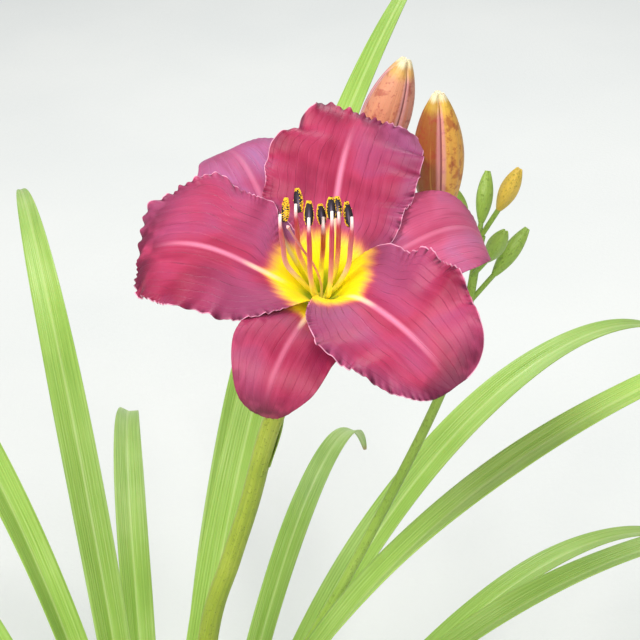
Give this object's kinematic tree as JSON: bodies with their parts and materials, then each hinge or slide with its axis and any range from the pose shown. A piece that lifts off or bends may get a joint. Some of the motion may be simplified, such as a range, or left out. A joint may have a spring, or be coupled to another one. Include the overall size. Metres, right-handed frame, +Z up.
{
  "type": "daylily plant",
  "caption": "Clump of a wine-rose daylily: arching keeled leaves round a cut crown, one open ruffled bloom with stamens, coloured buds and a younger budded stem.",
  "frame": {"origin": "centre of the crown's flat cut base, on the surface that the plant stands on", "axes": "+Z up; the bloom leans toward -Y"},
  "size_m": [0.8325, 0.878, 0.5658],
  "materials": {
    "crown": "matt cut plant tissue",
    "leaf": "satin fresh leaf",
    "stem": "satin fresh stem",
    "tube": "soft satin",
    "petal": "soft satin petal",
    "sepal": "soft satin petal",
    "filament": "soft satin",
    "anther": "matt, dusted with pollen",
    "style": "soft satin",
    "bud": "satin bud"
  },
  "bodies": {
    "root": {"crown": "crown", "leaf_01": "leaf", "leaf_02": "leaf", "leaf_03": "leaf", "leaf_04": "leaf", "leaf_05": "leaf", "leaf_06": "leaf", "leaf_07": "leaf", "leaf_08": "leaf", "leaf_09": "leaf", "leaf_10": "leaf", "leaf_11": "leaf", "leaf_12": "leaf", "leaf_13": "leaf", "leaf_14": "leaf", "leaf_15": "leaf", "leaf_16": "leaf", "leaf_17": "leaf", "leaf_18": "leaf", "leaf_19": "leaf", "leaf_20": "leaf", "leaf_21": "leaf", "leaf_22": "leaf", "leaf_23": "leaf", "leaf_24": "leaf", "leaf_25": "leaf", "leaf_26": "leaf", "leaf_27": "leaf", "leaf_28": "leaf", "scape": "stem", "young_scape": "stem", "perianth_tube": "tube", "petal_top": "petal", "petal_left": "petal", "petal_right": "petal", "sepal_bottom": "sepal", "sepal_right": "sepal", "sepal_left": "sepal", "pistil": "style", "bud_1": "bud", "bud_2": "bud", "filament_1": "filament", "anther_1": "anther", "filament_2": "filament", "anther_2": "anther", "filament_3": "filament", "anther_3": "anther", "filament_4": "filament", "anther_4": "anther", "filament_5": "filament", "anther_5": "anther", "filament_6": "filament", "anther_6": "anther", "filament_7": "filament", "anther_7": "anther"}
  },
  "joints": []
}
